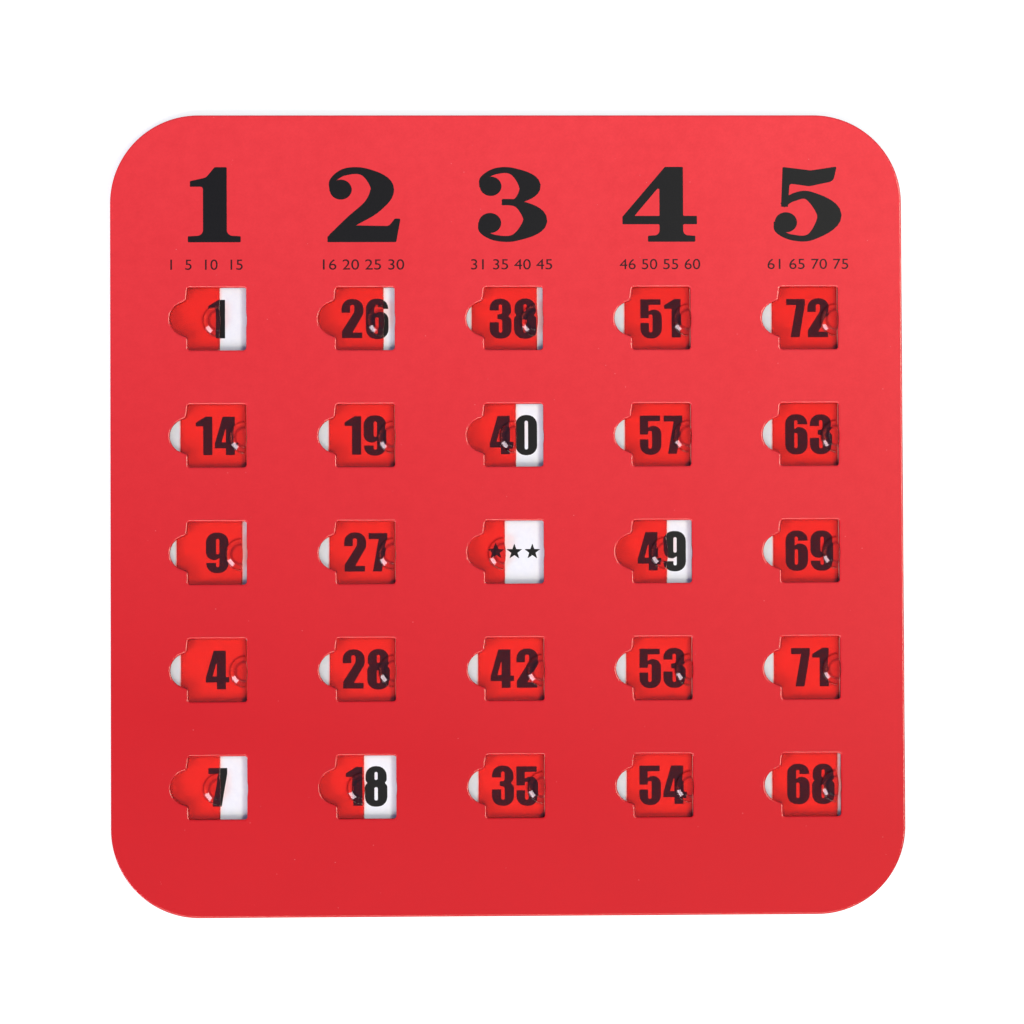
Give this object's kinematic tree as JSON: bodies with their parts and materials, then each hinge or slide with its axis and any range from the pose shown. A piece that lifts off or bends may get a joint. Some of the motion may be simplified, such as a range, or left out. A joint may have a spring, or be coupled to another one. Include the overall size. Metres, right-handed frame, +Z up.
{
  "type": "bingo card",
  "caption": "Flat square bingo card of laminated board, with a grid of notched windows and a sliding see-through shutter with a fingertip lug behind each.",
  "frame": {"origin": "middle of the card's back face, on the surface it lies on", "axes": "+Z up out of the printed face, +Y towards the heading, +X to the reader's right"},
  "size_m": [0.198, 0.2, 0.0038],
  "materials": {
    "printed_face": "satin film over red printing",
    "board": "uncoated grey-brown chipboard",
    "white_paper": "smooth white paper",
    "lining_paper": "plain uncoated paper",
    "shutter_plastic": "clear red tint, polished"
  },
  "bodies": {
    "card": {"back_sheet": "lining_paper", "back_board": "board", "number_sheet": "white_paper", "channel_board": "board", "face_board": "board", "face_sheet": "printed_face"},
    "shutter_r1c1": {"shutter_r1c1": "shutter_plastic"},
    "shutter_r1c2": {"shutter_r1c2": "shutter_plastic"},
    "shutter_r1c3": {"shutter_r1c3": "shutter_plastic"},
    "shutter_r1c4": {"shutter_r1c4": "shutter_plastic"},
    "shutter_r1c5": {"shutter_r1c5": "shutter_plastic"},
    "shutter_r2c1": {"shutter_r2c1": "shutter_plastic"},
    "shutter_r2c2": {"shutter_r2c2": "shutter_plastic"},
    "shutter_r2c3": {"shutter_r2c3": "shutter_plastic"},
    "shutter_r2c4": {"shutter_r2c4": "shutter_plastic"},
    "shutter_r2c5": {"shutter_r2c5": "shutter_plastic"},
    "shutter_r3c1": {"shutter_r3c1": "shutter_plastic"},
    "shutter_r3c2": {"shutter_r3c2": "shutter_plastic"},
    "shutter_r3c3": {"shutter_r3c3": "shutter_plastic"},
    "shutter_r3c4": {"shutter_r3c4": "shutter_plastic"},
    "shutter_r3c5": {"shutter_r3c5": "shutter_plastic"},
    "shutter_r4c1": {"shutter_r4c1": "shutter_plastic"},
    "shutter_r4c2": {"shutter_r4c2": "shutter_plastic"},
    "shutter_r4c3": {"shutter_r4c3": "shutter_plastic"},
    "shutter_r4c4": {"shutter_r4c4": "shutter_plastic"},
    "shutter_r4c5": {"shutter_r4c5": "shutter_plastic"},
    "shutter_r5c1": {"shutter_r5c1": "shutter_plastic"},
    "shutter_r5c2": {"shutter_r5c2": "shutter_plastic"},
    "shutter_r5c3": {"shutter_r5c3": "shutter_plastic"},
    "shutter_r5c4": {"shutter_r5c4": "shutter_plastic"},
    "shutter_r5c5": {"shutter_r5c5": "shutter_plastic"}
  },
  "joints": [
    {"name": "slide_r1c1", "type": "slide", "parent": "card", "child": "shutter_r1c1", "axis": [-1, 0, 0], "range_m": [-0.00649, 0.00809]},
    {"name": "slide_r1c2", "type": "slide", "parent": "card", "child": "shutter_r1c2", "axis": [-1, 0, 0], "range_m": [-0.00262, 0.01196]},
    {"name": "slide_r1c3", "type": "slide", "parent": "card", "child": "shutter_r1c3", "axis": [-1, 0, 0], "range_m": [-0.00124, 0.01334]},
    {"name": "slide_r1c4", "type": "slide", "parent": "card", "child": "shutter_r1c4", "axis": [-1, 0, 0], "range_m": [0, 0.01458]},
    {"name": "slide_r1c5", "type": "slide", "parent": "card", "child": "shutter_r1c5", "axis": [-1, 0, 0], "range_m": [0, 0.01458]},
    {"name": "slide_r2c1", "type": "slide", "parent": "card", "child": "shutter_r2c1", "axis": [-1, 0, 0], "range_m": [0, 0.01458]},
    {"name": "slide_r2c2", "type": "slide", "parent": "card", "child": "shutter_r2c2", "axis": [-1, 0, 0], "range_m": [0, 0.01458]},
    {"name": "slide_r2c3", "type": "slide", "parent": "card", "child": "shutter_r2c3", "axis": [-1, 0, 0], "range_m": [-0.00663, 0.00795]},
    {"name": "slide_r2c4", "type": "slide", "parent": "card", "child": "shutter_r2c4", "axis": [-1, 0, 0], "range_m": [0, 0.01458]},
    {"name": "slide_r2c5", "type": "slide", "parent": "card", "child": "shutter_r2c5", "axis": [-1, 0, 0], "range_m": [0, 0.01458]},
    {"name": "slide_r3c1", "type": "slide", "parent": "card", "child": "shutter_r3c1", "axis": [-1, 0, 0], "range_m": [-0.00101, 0.01357]},
    {"name": "slide_r3c2", "type": "slide", "parent": "card", "child": "shutter_r3c2", "axis": [-1, 0, 0], "range_m": [0, 0.01458]},
    {"name": "slide_r3c3", "type": "slide", "parent": "card", "child": "shutter_r3c3", "axis": [-1, 0, 0], "range_m": [-0.00955, 0.00503]},
    {"name": "slide_r3c4", "type": "slide", "parent": "card", "child": "shutter_r3c4", "axis": [-1, 0, 0], "range_m": [-0.00598, 0.0086]},
    {"name": "slide_r3c5", "type": "slide", "parent": "card", "child": "shutter_r3c5", "axis": [-1, 0, 0], "range_m": [0, 0.01458]},
    {"name": "slide_r4c1", "type": "slide", "parent": "card", "child": "shutter_r4c1", "axis": [-1, 0, 0], "range_m": [0, 0.01458]},
    {"name": "slide_r4c2", "type": "slide", "parent": "card", "child": "shutter_r4c2", "axis": [-1, 0, 0], "range_m": [0, 0.01458]},
    {"name": "slide_r4c3", "type": "slide", "parent": "card", "child": "shutter_r4c3", "axis": [-1, 0, 0], "range_m": [0, 0.01458]},
    {"name": "slide_r4c4", "type": "slide", "parent": "card", "child": "shutter_r4c4", "axis": [-1, 0, 0], "range_m": [0, 0.01458]},
    {"name": "slide_r4c5", "type": "slide", "parent": "card", "child": "shutter_r4c5", "axis": [-1, 0, 0], "range_m": [0, 0.01458]},
    {"name": "slide_r5c1", "type": "slide", "parent": "card", "child": "shutter_r5c1", "axis": [-1, 0, 0], "range_m": [-0.00663, 0.00795]},
    {"name": "slide_r5c2", "type": "slide", "parent": "card", "child": "shutter_r5c2", "axis": [-1, 0, 0], "range_m": [-0.00787, 0.00671]},
    {"name": "slide_r5c3", "type": "slide", "parent": "card", "child": "shutter_r5c3", "axis": [-1, 0, 0], "range_m": [0, 0.01458]},
    {"name": "slide_r5c4", "type": "slide", "parent": "card", "child": "shutter_r5c4", "axis": [-1, 0, 0], "range_m": [0, 0.01458]},
    {"name": "slide_r5c5", "type": "slide", "parent": "card", "child": "shutter_r5c5", "axis": [-1, 0, 0], "range_m": [-0.00055, 0.01403]}
  ]
}
